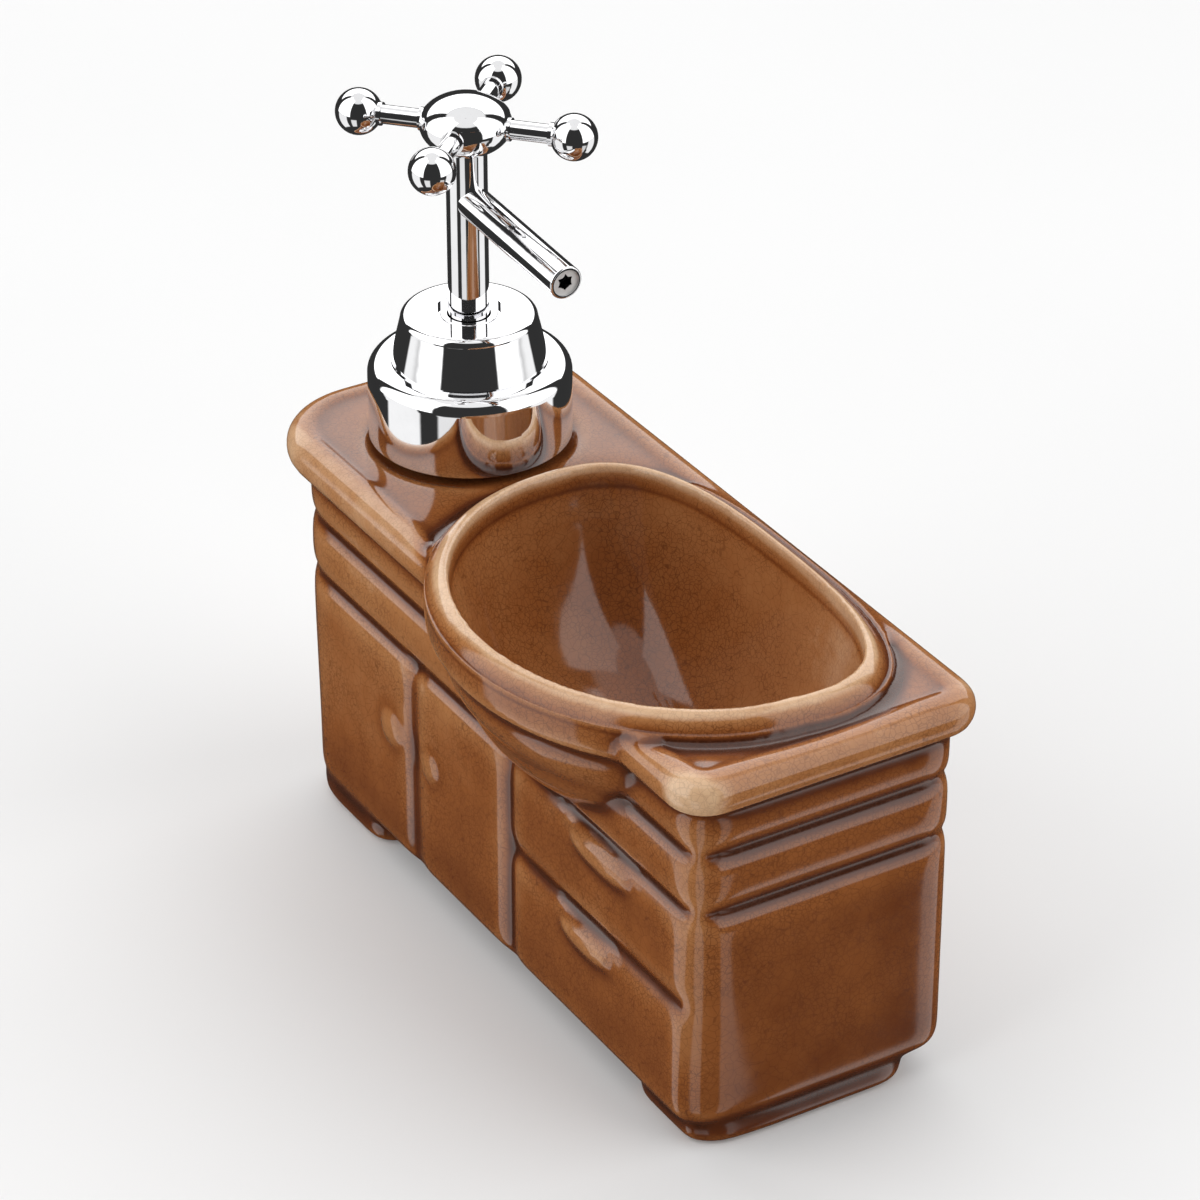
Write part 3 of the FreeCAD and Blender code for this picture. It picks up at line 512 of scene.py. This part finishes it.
def nozzle():
    """Bright plate whose star-shaped hole is painted near black inside as painted shade."""
    plate = nodes["spout_nozzle"]
    points = read_vectors(plate.data.vertices, "co", len(plate.data.vertices))
    middle = (points.max(axis=0) + points.min(axis=0)) / 2
    stem = nodes["column"].data.vertices
    outwards = middle - read_vectors(stem, "co", len(stem)).mean(axis=0)
    outwards[2] = 0.0
    outwards /= np.linalg.norm(outwards)
    material, tree, shader = new_material("nozzle_grey")
    gap = add(tree, "ShaderNodeVectorMath", operation="DISTANCE")
    tree.links.new(object_place(tree), gap.inputs[0])
    gap.inputs[1].default_value = middle - SHADE_BEHIND * outwards
    # 1 on the plate, 0 within the sphere of painted shade
    outside_painted_shade = smooth_step(tree, gap.outputs["Value"], SHADE_RADIUS, SHADE_RADIUS + 0.0001)
    tone = noise(tree, 300.0, 3.0, 0.6)
    bright = ramp(tree, tone, ((0.3, (0.56, 0.55, 0.54)), (0.7, (0.68, 0.67, 0.66))))
    # Near black painted shade in the hole, bright grey on the plate
    tree.links.new(mix_colour(tree, outside_painted_shade, (0.012, 0.010, 0.009), bright), shader.inputs["Base Color"])
    tree.links.new(math_node(tree, "MULTIPLY_ADD", tone, 0.06, 0.08), shader.inputs["Roughness"])
    shader.inputs["Coat Weight"].default_value = 0.6
    return material


# Painted shade: the white liner is coloured near black so that the bore looks dark
PAINTED_SHADE_BORE = moulded("nozzle_bore_painted_shade", (0.030, 0.029, 0.028), (0.014, 0.014, 0.014), 0.35, 0.10)
for node, finish in (("spout_liner", PAINTED_SHADE_BORE), ("spout_nozzle", nozzle())):
    for place in nodes[node].material_slots:
        place.material = finish


def coil_spring():
    """The return spring, as a mesh of its own carried by the pump's engine."""
    spring = bpy.data.objects.new("coil_spring", nodes["return_spring"].data.copy())
    scene.collection.objects.link(spring)
    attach(spring, "pump_engine")
    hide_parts("return_spring")
    heights = read_vectors(spring.data.vertices, "co", len(spring.data.vertices))[:, 2]
    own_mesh(spring)


coil_spring()


# ---------------------------------------------------------------- floor, light and camera

FLOOR_REACH = 6.0
FLOOR_GLOW = 0.10
CAMERA_AZIMUTH = math.radians(58.93)
CAMERA_ELEVATION = math.radians(31.01)
CAMERA_DISTANCE = 1.0474
CAMERA_TARGET = Vector((-0.00177, 0.00695, 0.08385))
SENSOR_WIDTH, LENS = 36, 139.6          # millimetres
BACKDROP = (0.93, 0.93, 0.93)           # what the camera sees behind the floor
BOX_LIGHT = 1.8              # radiance of a panel of level 1
# Light panels of the studio round the object: azimuth from the camera, elevation, and level
PANELS = (
    ((-110, -40), (-8, 72), 1.1),
    ((-104, -57), (-54, -8), 0.58),
    ((-35, -9), (-54, -20), 0.50),
    ((42, 108), (-8, 72), 1.0),
    ((70, 108), (-54, -8), 0.58),
    ((40, 57), (-54, -22), 0.40),
    ((-180, 180), (58, 90), 0.55),
    ((-180, -128), (17, 58), 1.25),
    ((126, 180), (17, 58), 1.25),
)
DARK_STUDIO = 0.035          # radiance between the panels
PANEL_SOFTNESS = 2.0         # half width of a panel's edge, in degrees


def floor():
    mesh = bpy.data.meshes.new("floor")
    corners = [(x * FLOOR_REACH, y * FLOOR_REACH, 0) for x, y in ((-1, -1), (1, -1), (1, 1), (-1, 1))]
    mesh.from_pydata(corners, [], [(0, 1, 2, 3)])
    plane = bpy.data.objects.new("studio_floor", mesh)
    scene.collection.objects.link(plane)
    material, tree, shader = new_material("studio_white")
    tone = noise(tree, 3.0)
    colour = ramp(tree, tone, ((0.3, (0.66, 0.66, 0.66)), (0.7, (0.68, 0.68, 0.68))))
    tree.links.new(colour, shader.inputs["Base Color"])
    shader.inputs["Roughness"].default_value = 1.0
    shader.inputs["Specular IOR Level"].default_value = 0.0
    shader.inputs["Emission Color"].default_value = (1, 1, 1, 1)
    shader.inputs["Emission Strength"].default_value = FLOOR_GLOW
    mesh.materials.append(material)
    plane.visible_glossy = False


def studio_light():
    """World light made of soft panels, as a studio with softboxes left and right of the camera."""
    world = bpy.data.worlds.new("studio")
    scene.world = world
    world.use_nodes = True
    tree = world.node_tree
    background = tree.nodes["Background"]
    direction = add(tree, "ShaderNodeTexCoord").outputs["Generated"]
    ahead = Vector((math.sin(CAMERA_AZIMUTH), -math.cos(CAMERA_AZIMUTH), 0))
    beside = Vector((math.cos(CAMERA_AZIMUTH), math.sin(CAMERA_AZIMUTH), 0))
    parts = []
    for axis in (ahead, beside):
        dot = add(tree, "ShaderNodeVectorMath", operation="DOT_PRODUCT")
        tree.links.new(direction, dot.inputs[0])
        dot.inputs[1].default_value = axis
        parts.append(dot.outputs["Value"])
    split = add(tree, "ShaderNodeSeparateXYZ")
    tree.links.new(direction, split.inputs[0])
    azimuth = math_node(tree, "DEGREES", math_node(tree, "ARCTAN2", parts[1], parts[0]))
    height = math_node(tree, "DEGREES", math_node(tree, "ARCSINE", split.outputs["Z"]))
    total = None
    for (left, right), (low, high), level in PANELS:
        across = window(tree, azimuth, left, right)
        upright = window(tree, height, low, high)
        inside = math_node(tree, "MULTIPLY", across, upright)
        lit = math_node(tree, "MULTIPLY", inside, level)
        total = lit if total is None else math_node(tree, "MAXIMUM", total, lit)
    radiance = math_node(tree, "MULTIPLY_ADD", total, BOX_LIGHT, DARK_STUDIO)
    seen = add(tree, "ShaderNodeLightPath").outputs["Is Camera Ray"]
    pale = mix_colour(tree, seen, radiance, BACKDROP)
    tree.links.new(pale, background.inputs["Color"])
    background.inputs["Strength"].default_value = 1.0
    world.cycles.sampling_method = "MANUAL"
    world.cycles.sample_map_resolution = 512


def window(tree, value, low, high):
    """1 between two angles and 0 outside them, open at -180 and 180 degrees."""
    soft = PANEL_SOFTNESS
    rise = smooth_step(tree, value, low - soft, low + soft) if low > -180 else 1.0
    fall = smooth_step(tree, value, high - soft, high + soft) if high < 180 else 0.0
    keep = math_node(tree, "SUBTRACT", 1.0, fall)
    return math_node(tree, "MULTIPLY", rise, keep)


def camera():
    back = Vector((math.sin(CAMERA_AZIMUTH) * math.cos(CAMERA_ELEVATION),
                   -math.cos(CAMERA_AZIMUTH) * math.cos(CAMERA_ELEVATION), math.sin(CAMERA_ELEVATION)))
    right = Vector((math.cos(CAMERA_AZIMUTH), math.sin(CAMERA_AZIMUTH), 0))
    up = back.cross(right)
    data = bpy.data.cameras.new("camera")
    data.sensor_width = SENSOR_WIDTH
    data.lens = LENS
    data.clip_start = 0.01
    eye = bpy.data.objects.new("camera", data)
    scene.collection.objects.link(eye)
    pose = Matrix((right, up, back)).transposed().to_4x4()
    pose.translation = CAMERA_TARGET + back * CAMERA_DISTANCE
    eye.matrix_world = pose
    scene.camera = eye


floor()
studio_light()
camera()
scene.view_settings.view_transform = "Standard"
